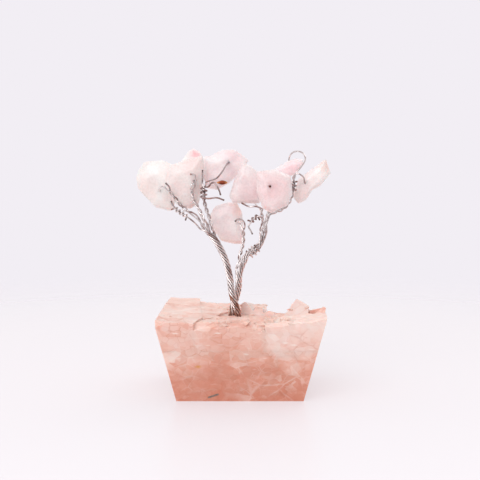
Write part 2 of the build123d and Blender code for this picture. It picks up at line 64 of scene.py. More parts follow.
def add(material, kind, inputs, **settings):
    """Add a node, with its settings, and with its inputs linked or set."""
    node = material.node_tree.nodes.new("ShaderNode" + kind)
    for name, value in settings.items():
        setattr(node, name, value)
    for socket, value in inputs.items():
        if isinstance(value, bpy.types.NodeSocket):
            material.node_tree.links.new(value, node.inputs[socket])
        else:
            node.inputs[socket].default_value = value
    return node


def empty_material(name):
    """Material with no nodes but its output."""
    material = bpy.data.materials.new(name)
    material.use_nodes = True
    material.node_tree.nodes.clear()
    return material, add(material, "OutputMaterial", {})


def only_material(mesh, material):
    """Give a mesh one material, in place of those that it has."""
    mesh.materials.clear()
    mesh.materials.append(material)


def crushed_quartz(name, deep, middle, pale, edge, gloss):
    """Rose quartz broken to chips of 9 and 4.5 mm and grit of 2 mm, seen through clear resin.

    Each chip has its own tone and its own tilt under the smooth surface, with paler lines where it
    is cracked and darker ones where it is shut against the next. Painted highlights stand in for
    sparkle: a bright glint on a few chips, and bright slivers, more of them near the top. The colour
    is painted shade and light: deeper low down, where less light comes in from above, and paler at
    the top and at three places near the edges, where light shines through.
    """
    cloud_share, tilt_share, top_share = 0.25, 0.22, 0.35
    amber_spot = (-11.1 * MM, -19.5 * MM, 9.9 * MM)
    material, output = empty_material(name)
    here = add(material, "TexCoord", {}).outputs["Object"]
    height = add(material, "SeparateXYZ", {"Vector": here}).outputs["Z"]
    # Painted shade and light: deeper colour low down and paler high up, as though less light reaches
    # the bottom of the block
    tone_with_painted_shading = add(
        material, "MapRange",
        {"Value": height, "From Min": 2 * MM, "From Max": 21 * MM, "To Min": -0.14, "To Max": 0.43},
    ).outputs["Result"]
    # Painted light: paler again in the top 5 mm, as though light shines through the thin broken top
    painted_top_light = add(
        material, "MapRange",
        {"Value": height, "From Min": 20 * MM, "From Max": 25 * MM, "To Min": 0.0, "To Max": 0.1},
    ).outputs["Result"]
    tone_with_painted_shading = add(material, "Math", {0: tone_with_painted_shading, 1: painted_top_light}, operation="ADD").outputs[0]
    # Three places of painted light, paler where light shines through the block near its edges: the
    # middle and the reach in millimetres, and how much paler
    for spot, reach, gain in (
        ((17, -22, 19), 14, 0.34), ((-17, -20, 14), 13, 0.16), ((17, -18, 6), 9, 0.14),
    ):
        near = add(
            material, "VectorMath", {0: here, 1: [c * MM for c in spot]}, operation="DISTANCE"
        ).outputs["Value"]
        near = add(
            material, "MapRange",
            {"Value": near, "From Min": 0.0, "From Max": reach * MM, "To Min": gain, "To Max": 0.0},
            interpolation_type="SMOOTHSTEP",
        ).outputs["Result"]
        tone_with_painted_shading = add(material, "Math", {0: tone_with_painted_shading, 1: near}, operation="ADD").outputs[0]
    clouds = add(
        material, "TexNoise", {"Vector": here, "Scale": 1 / (9 * MM), "Detail": 5.0, "Roughness": 0.6}
    ).outputs["Fac"]
    tone_with_painted_shading = add(
        material, "Math", {0: clouds, 1: cloud_share, 2: tone_with_painted_shading}, operation="MULTIPLY_ADD"
    ).outputs[0]
    sway = add(
        material, "TexNoise", {"Vector": here, "Scale": 1 / (4 * MM), "Detail": 2.0}
    ).outputs["Color"]
    sway = add(
        material, "VectorMath", {0: sway, 1: middle_grey}, operation="SUBTRACT"
    ).outputs["Vector"]
    sway = add(
        material, "VectorMath", {0: sway, "Scale": 1.2 * MM}, operation="SCALE"
    ).outputs["Vector"]
    bent = add(material, "VectorMath", {0: here, 1: sway}, operation="ADD").outputs["Vector"]
    straight = add(material, "NewGeometry", {}).outputs["Normal"]
    facing_up = add(material, "SeparateXYZ", {"Vector": straight}).outputs["Z"]
    upright = add(
        material, "MapRange",
        {"Value": facing_up, "From Min": 0.3, "From Max": 0.8, "To Min": 1.0, "To Max": top_share},
    ).outputs["Result"]
    tilt = straight
    cracks_and_glints, seams = None, None
    # Chips and grit: width, softness of the edge, share in the tone, tilt, and turn of the pattern
    for size, blur, share, lean, turn in (
        (9 * MM, 0.1, 0.14, 0.3, (0.4, 0.9, 0.2)),
        (4.5 * MM, 0.08, 0.16, 0.5, (1.1, 0.3, 0.7)),
        (2 * MM, 0.1, 0.16, 0.5, (0.2, 0.5, 1.3)),
    ):
        turned = add(
            material, "Mapping", {"Vector": bent, "Rotation": turn, "Scale": (1.0, 0.8, 1.35)}
        ).outputs["Vector"]
        chips = add(
            material, "TexVoronoi", {"Vector": turned, "Scale": 1 / size, "Smoothness": blur},
            feature="SMOOTH_F1",
        ).outputs["Color"]
        rims = add(
            material, "TexVoronoi", {"Vector": turned, "Scale": 1 / size}, feature="DISTANCE_TO_EDGE"
        ).outputs["Distance"]
        own = add(material, "SeparateXYZ", {"Vector": chips})
        tone_with_painted_shading = add(
            material, "Math", {0: own.outputs["X"], 1: share, 2: tone_with_painted_shading}, operation="MULTIPLY_ADD"
        ).outputs[0]
        aside = add(
            material, "VectorMath", {0: chips, 1: middle_grey}, operation="SUBTRACT"
        ).outputs["Vector"]
        how_far = add(material, "Math", {0: upright, 1: lean}, operation="MULTIPLY").outputs[0]
        aside = add(
            material, "VectorMath", {0: aside, "Scale": how_far}, operation="SCALE"
        ).outputs["Vector"]
        tilt = add(material, "VectorMath", {0: tilt, 1: aside}, operation="ADD").outputs["Vector"]
        crack_and_glint = add(
            material, "MapRange",
            {"Value": rims, "From Min": 0.0, "From Max": 0.04, "To Min": 1.0, "To Max": 0.0},
            interpolation_type="SMOOTHSTEP",
        ).outputs["Result"]
        shut = add(
            material, "MapRange",
            {
                "Value": own.outputs["Y"], "From Min": 0.2, "From Max": 0.5,
                "To Min": 0.55, "To Max": 0.0,
            },
        ).outputs["Result"]
        seam = add(
            material, "MapRange",
            {"Value": rims, "From Min": 0.0, "From Max": 0.11, "To Min": 1.0, "To Max": 0.0},
            interpolation_type="SMOOTHSTEP",
        ).outputs["Result"]
        seam = add(material, "Math", {0: seam, 1: shut}, operation="MULTIPLY").outputs[0]
        seams = seam if seams is None else add(
            material, "Math", {0: seams, 1: seam}, operation="MAXIMUM"
        ).outputs[0]
        # Painted highlight: a bright glint on a few chips, carried along with the pale crack lines
        painted_glint = add(
            material, "MapRange",
            {"Value": own.outputs["Z"], "From Min": 0.86, "From Max": 0.96, "To Max": 0.8},
        ).outputs["Result"]
        crack_and_glint = add(
            material, "Math", {0: crack_and_glint, 1: own.outputs["Y"], 2: painted_glint}, operation="MULTIPLY_ADD"
        ).outputs[0]
        cracks_and_glints = crack_and_glint if cracks_and_glints is None else add(
            material, "Math", {0: cracks_and_glints, 1: crack_and_glint}, operation="MAXIMUM"
        ).outputs[0]
    base_tilt = add(
        material, "Mix", {0: tilt_share, 4: straight, 5: tilt}, data_type="VECTOR"
    ).outputs[1]
    base_tilt = add(material, "VectorMath", {0: base_tilt}, operation="NORMALIZE").outputs["Vector"]
    tilt = add(material, "VectorMath", {0: tilt}, operation="NORMALIZE").outputs["Vector"]
    low = add(
        material, "MapRange", {"Value": tone_with_painted_shading, "From Min": 0.05, "From Max": 0.75}
    ).outputs["Result"]
    high = add(
        material, "MapRange", {"Value": tone_with_painted_shading, "From Min": 0.55, "From Max": 1.1}
    ).outputs["Result"]
    colour = add(
        material, "Mix", {0: low, 6: linear(deep), 7: linear(middle)}, data_type="RGBA"
    ).outputs[2]
    colour = add(
        material, "Mix", {0: high, 6: colour, 7: linear(pale)}, data_type="RGBA"
    ).outputs[2]
    pressed = add(
        material, "MapRange",
        {"Value": clouds, "From Min": 0.44, "From Max": 0.54, "To Min": 0.8, "To Max": 0.0},
    ).outputs["Result"]
    seams = add(material, "Math", {0: seams, 1: pressed}, operation="MULTIPLY").outputs[0]
    colour = add(
        material, "Mix", {0: seams, 6: colour, 7: linear(deep)}, data_type="RGBA"
    ).outputs[2]
    cracked = add(
        material, "MapRange",
        {"Value": clouds, "From Min": 0.4, "From Max": 0.64, "To Min": 0.0, "To Max": 0.48},
    ).outputs["Result"]
    cracks_and_glints = add(material, "Math", {0: cracks_and_glints, 1: cracked}, operation="MULTIPLY").outputs[0]
    # Painted highlights: thin bright slivers that stand in for sparkle off broken facets, more of them
    # higher up
    leaning = add(
        material, "Mapping", {"Vector": bent, "Rotation": (0.3, 0.8, 0.5), "Scale": (0.5, 1.0, 1.7)}
    ).outputs["Vector"]
    sparkle_cells = add(material, "TexVoronoi", {"Vector": leaning, "Scale": 1 / (1.8 * MM)})
    painted_sparkle = add(
        material, "MapRange",
        {
            "Value": sparkle_cells.outputs["Distance"], "From Min": 0.1, "From Max": 0.34,
            "To Min": 1.0, "To Max": 0.0,
        },
        interpolation_type="SMOOTHSTEP",
    ).outputs["Result"]
    chosen = add(material, "SeparateXYZ", {"Vector": sparkle_cells.outputs["Color"]}).outputs["X"]
    chosen = add(
        material, "MapRange", {"Value": chosen, "From Min": 0.6, "From Max": 0.9}
    ).outputs["Result"]
    painted_sparkle = add(material, "Math", {0: painted_sparkle, 1: chosen}, operation="MULTIPLY").outputs[0]
    painted_sparkle_height = add(
        material, "MapRange",
        {"Value": height, "From Min": 4 * MM, "From Max": 20 * MM, "To Min": 0.15, "To Max": 0.7},
    ).outputs["Result"]
    painted_sparkle = add(material, "Math", {0: painted_sparkle, 1: painted_sparkle_height}, operation="MULTIPLY").outputs[0]
    cracks_and_glints = add(material, "Math", {0: cracks_and_glints, 1: painted_sparkle}, operation="MAXIMUM").outputs[0]
    # The pale cracks take the lightest colour, and so do the painted glints and sparkles
    colour = add(
        material, "Mix", {0: cracks_and_glints, 6: colour, 7: linear(edge)}, data_type="RGBA"
    ).outputs[2]
    # A speck of amber stain, wider than it is tall
    amber = add(
        material, "VectorMath", {0: bent, 1: amber_spot}, operation="SUBTRACT"
    ).outputs["Vector"]
    amber = add(
        material, "VectorMath", {0: amber, 1: (0.6, 0.4, 1.3)}, operation="MULTIPLY"
    ).outputs["Vector"]
    amber = add(material, "VectorMath", {0: amber}, operation="LENGTH").outputs["Value"]
    amber = add(
        material, "MapRange",
        {"Value": amber, "From Min": 0.15 * MM, "From Max": 0.65 * MM, "To Min": 0.8, "To Max": 0.0},
    ).outputs["Result"]
    colour = add(
        material, "Mix", {0: amber, 6: colour, 7: linear("#D69A3C")}, data_type="RGBA"
    ).outputs[2]
    # The broken top is duller than the walls, which took the polish of the mould
    rough = add(
        material, "MapRange",
        {"Value": upright, "From Min": top_share, "From Max": 1.0, "To Min": 0.55, "To Max": 0.25},
    ).outputs["Result"]
    coat = add(material, "Math", {0: upright, 1: gloss}, operation="MULTIPLY").outputs[0]
    surface = add(
        material, "BsdfPrincipled",
        {
            "Base Color": colour, "Normal": base_tilt, "Roughness": rough, "IOR": quartz_ior,
            "Subsurface Weight": 0.5, "Subsurface Radius": (1.0, 0.62, 0.52),
            "Subsurface Scale": 0.7 * MM,
            "Coat Weight": coat, "Coat Roughness": 0.14, "Coat Normal": tilt,
        },
    )
    material.node_tree.links.new(surface.outputs["BSDF"], output.inputs["Surface"])
    return material


block_quartz = crushed_quartz(
    "rose quartz crushed in clear resin", "#CF7D62", "#EBB19E", "#F6DBD3", "#FEF0EA", 0.5
)
for node in ("front_wall_chips", "rear_wall_chips", "left_wall_chips", "right_wall_chips"):
    only_material(frame["nodes"][node].data, block_quartz)

# Broken top
# Chunks of the same quartz stand out of the resin, split along flat breaks. Their upper faces, and the
# resin between them, are pitted with shallow scallops, which also notch the rim where they reach it.
bottom_half, top_half, rim_level, fill_level = 17.2 * MM, 22.75 * MM, 22 * MM, 14.8 * MM
flare = (top_half - bottom_half) / rim_level
weld, cut_slack, rim_slack = 0.0005 * MM, 0.001 * MM, 0.01 * MM
flat_angle, crease = 0.01, math.radians(32)
least_upward = 0.25
pit_step, scallop_width, grain_width = 0.65 * MM, 4.5 * MM, 1.6 * MM
chunk_pit_share, chip_pit_share = 1.0, 0.4
# Depths in millimetres of a scallop and of its grain, and how far above the solid they start
scallop_depth, grain_depth, start_above = 0.75, 0.4, 0.55
# How fast the finer grain falls off, how much finer each octave is, and the number of octaves
grain_octaves = (0.8, 2.0, 3)
top_chunks = (
    "left_slab", "rear_chunk", "left_trunk_chip", "front_chunk", "front_right_chunk",
    "right_corner_chip", "right_peak_chip", "right_side_chunk", "trunk_rear_chip", "rear_bump_chip",
    "low_chip",
)
# The small chips get a paler copy of the quartz: partly their clearer stone, partly painted light for
# the light that shines through them
clear_chips = ("right_peak_chip", "trunk_rear_chip", "rear_bump_chip", "low_chip")
clear_quartz_painted_paler = crushed_quartz(
    "clear rose quartz chip", "#E2B8AD", "#EACFC8", "#F1DED9", "#F9EFEC", 0.5
)


def placed(name, data):
    """New object in the scene, with the given mesh, lamp or lens."""
    new = bpy.data.objects.new(name, data)
    bpy.context.scene.collection.objects.link(new)
    return new


ground = bmesh.new()
for node in top_chunks + ("resin_block",):
    pit_share = chunk_pit_share if node.endswith(("chunk", "block")) else chip_pit_share
    shape = bmesh.new()
    shape.from_mesh(frame["nodes"][node].data)
    bmesh.ops.remove_doubles(shape, verts=shape.verts, dist=weld)
    bmesh.ops.dissolve_limit(shape, angle_limit=flat_angle, verts=shape.verts, edges=shape.edges)
    lowest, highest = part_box(node)
    for axis, side in enumerate((Vector((1, 0, 0)), Vector((0, 1, 0)))):
        first, last = math.ceil(lowest[axis] / pit_step), math.floor(highest[axis] / pit_step)
        for cut in range(first, last + 1):
            bmesh.ops.bisect_plane(
                shape, geom=shape.verts[:] + shape.edges[:] + shape.faces[:], dist=cut_slack,
                plane_co=side * cut * pit_step, plane_no=side,
            )
    bmesh.ops.triangulate(shape, faces=shape.faces)
    shape.normal_update()
    upper = {vert for face in shape.faces if face.normal.z > least_upward for vert in face.verts}
    for vert in upper:
        if vert.co.z < fill_level:
            continue
        scallop = noise.voronoi(vert.co / scallop_width)[0][0]
        grain = 0.5 + 0.5 * noise.fractal(vert.co / grain_width, *grain_octaves)
        depth = (scallop_depth * scallop + grain_depth * grain - start_above) * pit_share * MM
        reach = bottom_half + flare * vert.co.z
        for axis in (0, 1):
            if abs(vert.co[axis]) > reach - rim_slack:
                vert.co[axis] -= math.copysign(flare * depth, vert.co[axis])
        vert.co.z -= depth
    shape.normal_update()
    for face in shape.faces:
        face.smooth = True
    for edge in shape.edges:
        edge.smooth = edge.is_manifold and edge.calc_face_angle() < crease
    mesh = bpy.data.meshes.new(node + "_broken")
    shape.to_mesh(mesh)
    shape.free()
    mesh.attributes.remove(mesh.attributes["custom_normal"])
    ground.from_mesh(mesh)
    only_material(mesh, clear_quartz_painted_paler if node in clear_chips else block_quartz)
    piece = placed(node + "_broken", mesh)
    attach(piece, "tree")
    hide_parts(node)

# Crumbs of the broken top
# Splinters of quartz, one to four millimetres long, that sank half into the resin as it set. They lie
# on the chunks and in the dips between them, and those at the rim are cut off flush by the mould.
broken_quartz = crushed_quartz(
    "broken rose quartz", "#D9998A", "#E8B8A9", "#F2D3C8", "#FAEAE3", 0.1
)
trunk_spot, trunk_clear = Vector((-1.5 * MM, 0)), 3.4 * MM
drop_height = 0.05
crumb_corners = 12
# Shares of a crumb's length: its width, its height, and how deep its middle lies
width_shares, height_shares, sunk_shares = (0.6, 0.9), (0.35, 0.6), (0.02, 0.14)
full_turn, most_lean = 6.28, 0.5
flush_slack = 0.0001 * MM
ground_tree = BVHTree.FromBMesh(ground)
ground.free()
# Seed, number of tries, where they fall across and along, and how long they are, in millimetres
crumb_zones = [
    ("rear_crumbs", 11, 22, (-9, 20), (4, 21), (1.6, 4.0)),
    ("right_crumbs", 12, 24, (5, 21), (-13, 8), (1.6, 4.0)),
    ("trunk_crumbs", 13, 20, (-8, 8), (-8, 6), (1.2, 2.8)),
    ("front_crumbs", 14, 34, (-7, 15), (-22.5, -12), (1.8, 4.4)),
    ("left_crumbs", 15, 3, (-21, -12), (-15, 20), (1.0, 2.2)),
]
for name, seed, count, across_x, across_y, sizes in crumb_zones:
    chance = random.Random(seed)
    shape = bmesh.new()
    for crumb in range(count):
        size = chance.uniform(*sizes) * MM
        spot = Vector((chance.uniform(*across_x) * MM, chance.uniform(*across_y) * MM, drop_height))
        hit, slope = ground_tree.ray_cast(spot, Vector((0, 0, -1)))[:2]
        if hit is None or (hit.xy - trunk_spot).length < trunk_clear or hit.z < fill_level:
            continue
        corners = []
        for corner in range(crumb_corners):
            way = Vector((chance.gauss(0, 1), chance.gauss(0, 1), chance.gauss(0, 1))).normalized()
            corners.append(bmesh.ops.create_vert(shape, co=way * size / 2)["vert"][0])
        squash = (1, chance.uniform(*width_shares), chance.uniform(*height_shares))
        bmesh.ops.scale(shape, vec=squash, verts=corners)
        turn = Matrix.Rotation(chance.uniform(0, full_turn), 3, "Z")
        lean = Matrix.Rotation(chance.uniform(-most_lean, most_lean), 3, "X")
        bmesh.ops.rotate(shape, matrix=turn @ lean, verts=corners)
        sunk = slope * size * chance.uniform(*sunk_shares)
        bmesh.ops.translate(shape, vec=hit - sunk, verts=corners)
        bmesh.ops.convex_hull(shape, input=corners)
    loose = [corner for corner in shape.verts if not corner.link_faces]
    bmesh.ops.delete(shape, geom=loose, context="VERTS")
    for x, y in ((1, 0), (-1, 0), (0, 1), (0, -1)):
        bmesh.ops.bisect_plane(
            shape, geom=shape.verts[:] + shape.edges[:] + shape.faces[:], dist=flush_slack,
            plane_co=(x * bottom_half, y * bottom_half, 0), plane_no=(x, y, -flare),
            clear_outer=True,
        )
        open_edges = [edge for edge in shape.edges if edge.is_boundary]
        bmesh.ops.holes_fill(shape, edges=open_edges, sides=0)
    bmesh.ops.recalc_face_normals(shape, faces=shape.faces)
    mesh = bpy.data.meshes.new(name)
    shape.to_mesh(mesh)
    shape.free()
    mesh.materials.append(broken_quartz)
    piece = placed(name, mesh)
    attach(piece, "tree")

# Offcut in the front wall
# A clipping of wire that fell into the mould and was cast in, dull and brown with age.
dull_wire, output = empty_material("tarnished wire")
here = add(dull_wire, "TexCoord", {}).outputs["Object"]
stain = add(dull_wire, "TexNoise", {"Vector": here, "Scale": 1 / (0.7 * MM), "Detail": 3.0})
colour = add(
    dull_wire, "Mix", {0: stain.outputs["Fac"], 6: linear("#4A3A35"), 7: linear("#B9A9A0")},
    data_type="RGBA",
)
surface = add(
    dull_wire, "BsdfPrincipled", {"Base Color": colour.outputs[2], "Metallic": 0.7, "Roughness": 0.45}
)
dull_wire.node_tree.links.new(surface.outputs["BSDF"], output.inputs["Surface"])
only_material(frame["nodes"]["wire_offcut"].data, dull_wire)

# Wires and bindings
# Silver-plated copper craft wire, under half a millimetre thick, drawn round and twisted by hand. The
# plating is dull in patches, most on the bindings and curls. Painted shade darkens it between strands,
# and painted light and shade make it lighter low on the branches and a little darker up in the crown.
# It is rubbed through to brown copper near the foot, and gone at the cut ends.
age_share = 0.22
silver_wire, output = empty_material("silver-plated copper wire")
here = add(silver_wire, "TexCoord", {}).outputs["Object"]
patches = add(
    silver_wire, "TexNoise",
    {"Vector": here, "Scale": 1 / (2.2 * MM), "Detail": 4.0, "Roughness": 0.65},
).outputs["Fac"]
age = add(silver_wire, "Attribute", {}, attribute_name="age").outputs["Fac"]
worn = add(
    silver_wire, "Math", {0: age, 1: age_share, 2: patches}, operation="MULTIPLY_ADD"
).outputs[0]
level = add(silver_wire, "SeparateXYZ", {"Vector": here}).outputs["Z"]
# Painted light and shade by height: lighter low on the branches, where bundles shade each other, and a
# little darker in the crown, where single wires reflect the bright room
wear_and_height_shading = add(
    silver_wire, "MapRange",
    {"Value": level, "From Min": 32 * MM, "From Max": 60 * MM, "To Min": -0.12, "To Max": 0.02},
).outputs["Result"]
wear_and_height_shading = add(silver_wire, "Math", {0: worn, 1: wear_and_height_shading}, operation="ADD").outputs[0]
dulled_and_shaded = add(
    silver_wire, "MapRange",
    {"Value": wear_and_height_shading, "From Min": 0.48, "From Max": 0.76, "To Min": 0.0, "To Max": 0.85},
)
colour = add(
    silver_wire, "Mix", {0: dulled_and_shaded.outputs["Result"], 6: linear("#EDE4E4"), 7: linear("#8A7071")},
    data_type="RGBA",
)
near_foot = add(
    silver_wire, "MapRange",
    {"Value": level, "From Min": 20 * MM, "From Max": 29 * MM, "To Min": 0.45, "To Max": 0.0},
).outputs["Result"]
rubbed = add(silver_wire, "Math", {0: worn, 1: near_foot}, operation="ADD")
rubbed = add(
    silver_wire, "MapRange",
    {"Value": rubbed.outputs[0], "From Min": 0.74, "From Max": 0.95, "To Max": 0.85},
)
colour = add(
    silver_wire, "Mix", {0: rubbed.outputs["Result"], 6: colour.outputs[2], 7: linear("#96634A")},
    data_type="RGBA",
)
# Painted shade: darker where the next strand lies close, standing in for the shade between strands
painted_strand_shade = add(silver_wire, "Attribute", {}, attribute_name="painted_strand_shade").outputs["Fac"]
painted_strand_shade = add(
    silver_wire, "MapRange", {"Value": painted_strand_shade, "From Min": 0.0, "From Max": 0.45, "To Max": 0.6}
)
colour = add(
    silver_wire, "Mix", {0: painted_strand_shade.outputs["Result"], 6: colour.outputs[2], 7: linear("#4C3F3D")},
    data_type="RGBA",
)
cut = add(silver_wire, "Attribute", {}, attribute_name="cut_end").outputs["Fac"]
colour = add(
    silver_wire, "Mix", {0: cut, 6: colour.outputs[2], 7: linear("#6B4638")}, data_type="RGBA"
)
gloss = add(
    silver_wire, "MapRange",
    {"Value": patches, "From Min": 0.35, "From Max": 0.7, "To Min": 0.2, "To Max": 0.42},
)
# The marks of drawing are finer than this, and are this coarse so that they show
drawn = add(silver_wire, "TexNoise", {"Vector": here, "Scale": 1 / (0.25 * MM), "Detail": 2.0})
bump = add(
    silver_wire, "Bump", {"Height": drawn.outputs["Fac"], "Strength": 0.15, "Distance": 0.02 * MM}
)
surface = add(
    silver_wire, "BsdfPrincipled",
    {
        "Base Color": colour.outputs[2], "Metallic": 1.0, "Roughness": gloss.outputs["Result"],
        "Normal": bump.outputs["Normal"],
    },
)
silver_wire.node_tree.links.new(surface.outputs["BSDF"], output.inputs["Surface"])

wire_slot_nodes = [
    part["node"] for part in frame["record"]["subparts"] if part["material_slot"] == "craft_wire"
]
bare_length, crevice_reach, skin = 0.8 * MM, 0.55 * MM, 0.01 * MM
rim_angle = math.radians(60)
older = 0.35
bundle = bmesh.new()
for node in wire_slot_nodes:
    bundle.from_mesh(frame["nodes"][node].data)
bundle_tree = BVHTree.FromBMesh(bundle)
bundle.free()
chance = random.Random(21)
for node in wire_slot_nodes:
    wire_age = chance.random() + (older if node.endswith(("coil", "curl_wire")) else 0.0)
    shape = bmesh.new()
    shape.from_mesh(frame["nodes"][node].data)
    bmesh.ops.remove_doubles(shape, verts=shape.verts, dist=weld)
    rims = [
        edge for edge in shape.edges if edge.is_manifold and edge.calc_face_angle() > rim_angle
    ]
    corners = {corner for edge in rims for corner in edge.verts}
    finder = kdtree.KDTree(len(corners))
    for i, corner in enumerate(corners):
        finder.insert(corner.co, i)
    finder.balance()
    bare = shape.verts.layers.float.new("cut_end")
    aged = shape.verts.layers.float.new("age")
    strand_shade_layer = shape.verts.layers.float.new("painted_strand_shade")
    shape.normal_update()
    for vert in shape.verts:
        vert[aged] = wire_age
        # Painted shade between strands: how near the next strand lies straight out from the surface
        start = vert.co + vert.normal * skin
        gap = bundle_tree.ray_cast(start, vert.normal, crevice_reach)[3]
        vert[strand_shade_layer] = 0.0 if gap is None else 1 - gap / crevice_reach
        far = finder.find(vert.co)[2]
        vert[bare] = 0.0 if far is None else max(0.0, 1 - far / bare_length)
    for face in shape.faces:
        face.smooth = True
    for edge in rims:
        edge.smooth = False
    mesh = bpy.data.meshes.new(node + "_drawn")
    shape.to_mesh(mesh)
    shape.free()
    mesh.attributes.remove(mesh.attributes["custom_normal"])
    only_material(mesh, silver_wire)
    piece = placed(node + "_drawn", mesh)
    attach(piece, "tree")
    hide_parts(node)

# Copper flake
# A flake of bare copper, three millimetres long, hammered thin and caught at the bend of the top wire.
# It has gone dark red-brown in the middle, and its thin ends are still orange.
blotch_size = 0.8 * MM
flake_copper, output = empty_material("hammered bare copper")
here = add(flake_copper, "TexCoord", {}).outputs["Object"]
lowest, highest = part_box("copper_flake")
middle = add(
    flake_copper, "VectorMath", {0: here, 1: (lowest + highest) / 2}, operation="DISTANCE"
).outputs["Value"]
blotch = add(
    flake_copper, "TexNoise", {"Vector": here, "Scale": 1 / blotch_size, "Detail": 3.0}
).outputs["Fac"]
orange = add(
    flake_copper, "Math", {0: blotch, 1: blotch_size, 2: middle}, operation="MULTIPLY_ADD"
).outputs[0]
orange = add(
    flake_copper, "MapRange", {"Value": orange, "From Min": 1.15 * MM, "From Max": 1.9 * MM}
)
colour = add(
    flake_copper, "Mix", {0: orange.outputs["Result"], 6: linear("#844230"), 7: linear("#D99660")},
    data_type="RGBA",
)
dents = add(
    flake_copper, "TexVoronoi", {"Vector": here, "Scale": 1 / (0.5 * MM)}, feature="SMOOTH_F1"
)
bump = add(
    flake_copper, "Bump", {"Height": dents.outputs["Distance"], "Strength": 0.5, "Distance": 0.1 * MM}
)
surface = add(
    flake_copper, "BsdfPrincipled",
    {
        "Base Color": colour.outputs[2], "Metallic": 1.0, "Roughness": 0.36,
        "Normal": bump.outputs["Normal"],
    },
)
flake_copper.node_tree.links.new(surface.outputs["BSDF"], output.inputs["Surface"])
only_material(frame["nodes"]["copper_flake"].data, flake_copper)

# Stones of the crown
# Drilled chips of pale rose quartz, tumbled until their broken edges are rounded and their faces have
# a soft polish. They are clouded inside, and each has its own tint and its own blush of pink.
stone_step, wave_width = 0.18 * MM, 3.2 * MM
rounding_passes = 7
# Depth of the waves in millimetres, then their fall-off, step between octaves and octaves
wave_depth, wave_octaves = 0.14, (0.9, 2.0, 3)
inner_share = 0.998


def tumbled_quartz(name, body, veil, blush, blush_spot, blush_reach):
    """Pale quartz with clouds of 4 mm, veils along old cracks, and a blush of colour at one place."""
    material, output = empty_material(name)
    here = add(material, "TexCoord", {}).outputs["Object"]
    clouds = add(
        material, "TexNoise", {"Vector": here, "Scale": 1 / (4 * MM), "Detail": 4.0, "Distortion": 0.6}
    ).outputs["Fac"]
    cloudy = add(material, "MapRange", {"Value": clouds, "From Min": 0.38, "From Max": 0.68})
    colour = add(
        material, "Mix", {0: cloudy.outputs["Result"], 6: linear(body), 7: linear(veil)},
        data_type="RGBA",
    )
    cracks = add(
        material, "TexVoronoi", {"Vector": here, "Scale": 1 / (4.5 * MM)}, feature="DISTANCE_TO_EDGE"
    ).outputs["Distance"]
    crack = add(
        material, "MapRange",
        {"Value": cracks, "From Min": 0.0, "From Max": 0.06, "To Min": 0.4, "To Max": 0.0},
        interpolation_type="SMOOTHSTEP",
    )
    crack = add(material, "Math", {0: crack.outputs["Result"], 1: clouds}, operation="MULTIPLY")
    colour = add(
        material, "Mix", {0: crack.outputs[0], 6: colour.outputs[2], 7: linear("#FBF3F1")},
        data_type="RGBA",
    )
    spot = [c * MM for c in blush_spot]
    near = add(material, "VectorMath", {0: here, 1: spot}, operation="DISTANCE").outputs["Value"]
    near = add(
        material, "MapRange",
        {"Value": near, "From Min": 0.0, "From Max": blush_reach * MM, "To Min": 1.3, "To Max": -0.3},
    )
    near = add(
        material, "Math", {0: near.outputs["Result"], 1: clouds}, operation="MULTIPLY", use_clamp=True
    )
    colour = add(
        material, "Mix", {0: near.outputs[0], 6: colour.outputs[2], 7: linear(blush)}, data_type="RGBA"
    )
    grain = add(material, "TexNoise", {"Vector": here, "Scale": 1 / (0.6 * MM), "Detail": 3.0})
    polish = add(
        material, "MapRange",
        {
            "Value": grain.outputs["Fac"], "From Min": 0.3, "From Max": 0.7,
            "To Min": 0.2, "To Max": 0.36,
        },
    )
    bump = add(
        material, "Bump", {"Height": grain.outputs["Fac"], "Strength": 0.05, "Distance": 0.05 * MM}
    )
    surface = add(
        material, "BsdfPrincipled",
        {
            "Base Color": colour.outputs[2], "Roughness": polish.outputs["Result"], "IOR": quartz_ior,
            "Normal": bump.outputs["Normal"], "Subsurface Weight": 0.75,
            "Subsurface Radius": (1.0, 0.78, 0.74), "Subsurface Scale": 2.5 * MM,
        },
    )
    material.node_tree.links.new(surface.outputs["BSDF"], output.inputs["Surface"])
    return material


def evenly_meshed(node, name, step):
    """New object with a copy of a node's shape, in even faces of about the given size."""
    cast = bmesh.new()
    cast.from_mesh(frame["nodes"][node].data)
    bmesh.ops.remove_doubles(cast, verts=cast.verts, dist=weld)
    rough = bpy.data.meshes.new(name + "_rough")
    cast.to_mesh(rough)
    cast.free()
    new = placed(name, rough)
    remesh = new.modifiers.new("even faces", "REMESH")
    remesh.mode = "VOXEL"
    remesh.voxel_size = step
    bpy.context.view_layer.update()
    finished = new.evaluated_get(bpy.context.evaluated_depsgraph_get())
    even = bpy.data.meshes.new_from_object(finished)
    new.modifiers.clear()
    new.data = even
    bpy.data.meshes.remove(rough)
    return new


